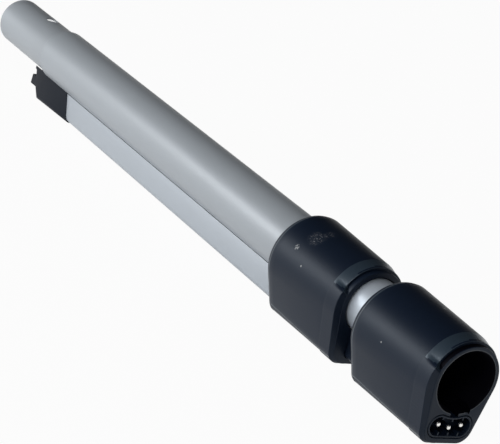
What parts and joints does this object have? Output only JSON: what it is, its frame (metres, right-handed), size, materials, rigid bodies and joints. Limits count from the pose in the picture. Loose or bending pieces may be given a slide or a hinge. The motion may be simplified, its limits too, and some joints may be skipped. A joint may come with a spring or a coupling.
{
  "type": "telescopic vacuum wand",
  "caption": "Telescopic vacuum cleaner wand with a cable channel, lock collar, round handle socket, contact block and stepped nozzle spigot.",
  "frame": {"origin": "centre of the handle socket's mouth, on the wand's axis", "axes": "+X out of the handle socket along the wand's axis, the nozzle spigot at -X; +Z away from the cable channel"},
  "size_m": [0.587, 0.056, 0.0645],
  "materials": {
    "grey_tube": "satin grey lacquered steel tube",
    "bright_tube": "bright chromed steel tube",
    "silver_channel": "satin silver trough",
    "black_plastic": "satin black moulding, slightly blue",
    "contact_metal": "nickel-plated brass",
    "felt": "dark felt seal",
    "guide_plastic": "natural white acetal",
    "hardware_steel": "zinc-plated steel",
    "lead_rubber": "black curly lead"
  },
  "bodies": {
    "nozzle_section": {"outer_tube": "grey_tube", "cable_channel": "silver_channel", "lock_collar_shell": "black_plastic", "lock_collar_core": "black_plastic", "seal_ring": "felt", "front_guide": "guide_plastic", "rocker_pivot": "hardware_steel", "rocker_spring": "hardware_steel", "plug_housing": "black_plastic", "plug_sleeve_1": "contact_metal", "plug_sleeve_2": "contact_metal", "plug_sleeve_3": "contact_metal", "curly_lead": "lead_rubber", "collar_screws": "hardware_steel", "plug_screw": "hardware_steel"},
    "handle_section": {"inner_tube": "bright_tube", "inner_conduit": "black_plastic", "handle_collar_shell": "black_plastic", "handle_socket": "black_plastic", "contact_block": "black_plastic", "contact_pin_1": "contact_metal", "contact_pin_2": "contact_metal", "contact_pin_3": "contact_metal", "contact_screw": "hardware_steel", "rear_glide_ring": "guide_plastic"},
    "rocker": {"release_rocker": "black_plastic", "lock_pin": "hardware_steel"}
  },
  "joints": [
    {"name": "telescope", "type": "slide", "parent": "nozzle_section", "child": "handle_section", "axis": [1, 0, 0], "range_m": [0, 0.34], "deforming": ["curly_lead"]},
    {"name": "release", "type": "hinge", "parent": "nozzle_section", "child": "rocker", "pos_m": [-0.12, 0.024, 0], "axis": [0, 0, 1], "range_deg": [0, 4], "stiffness_Nm_per_rad": 0.84, "springref_deg": -2.01, "deforming": ["rocker_spring"]}
  ]
}
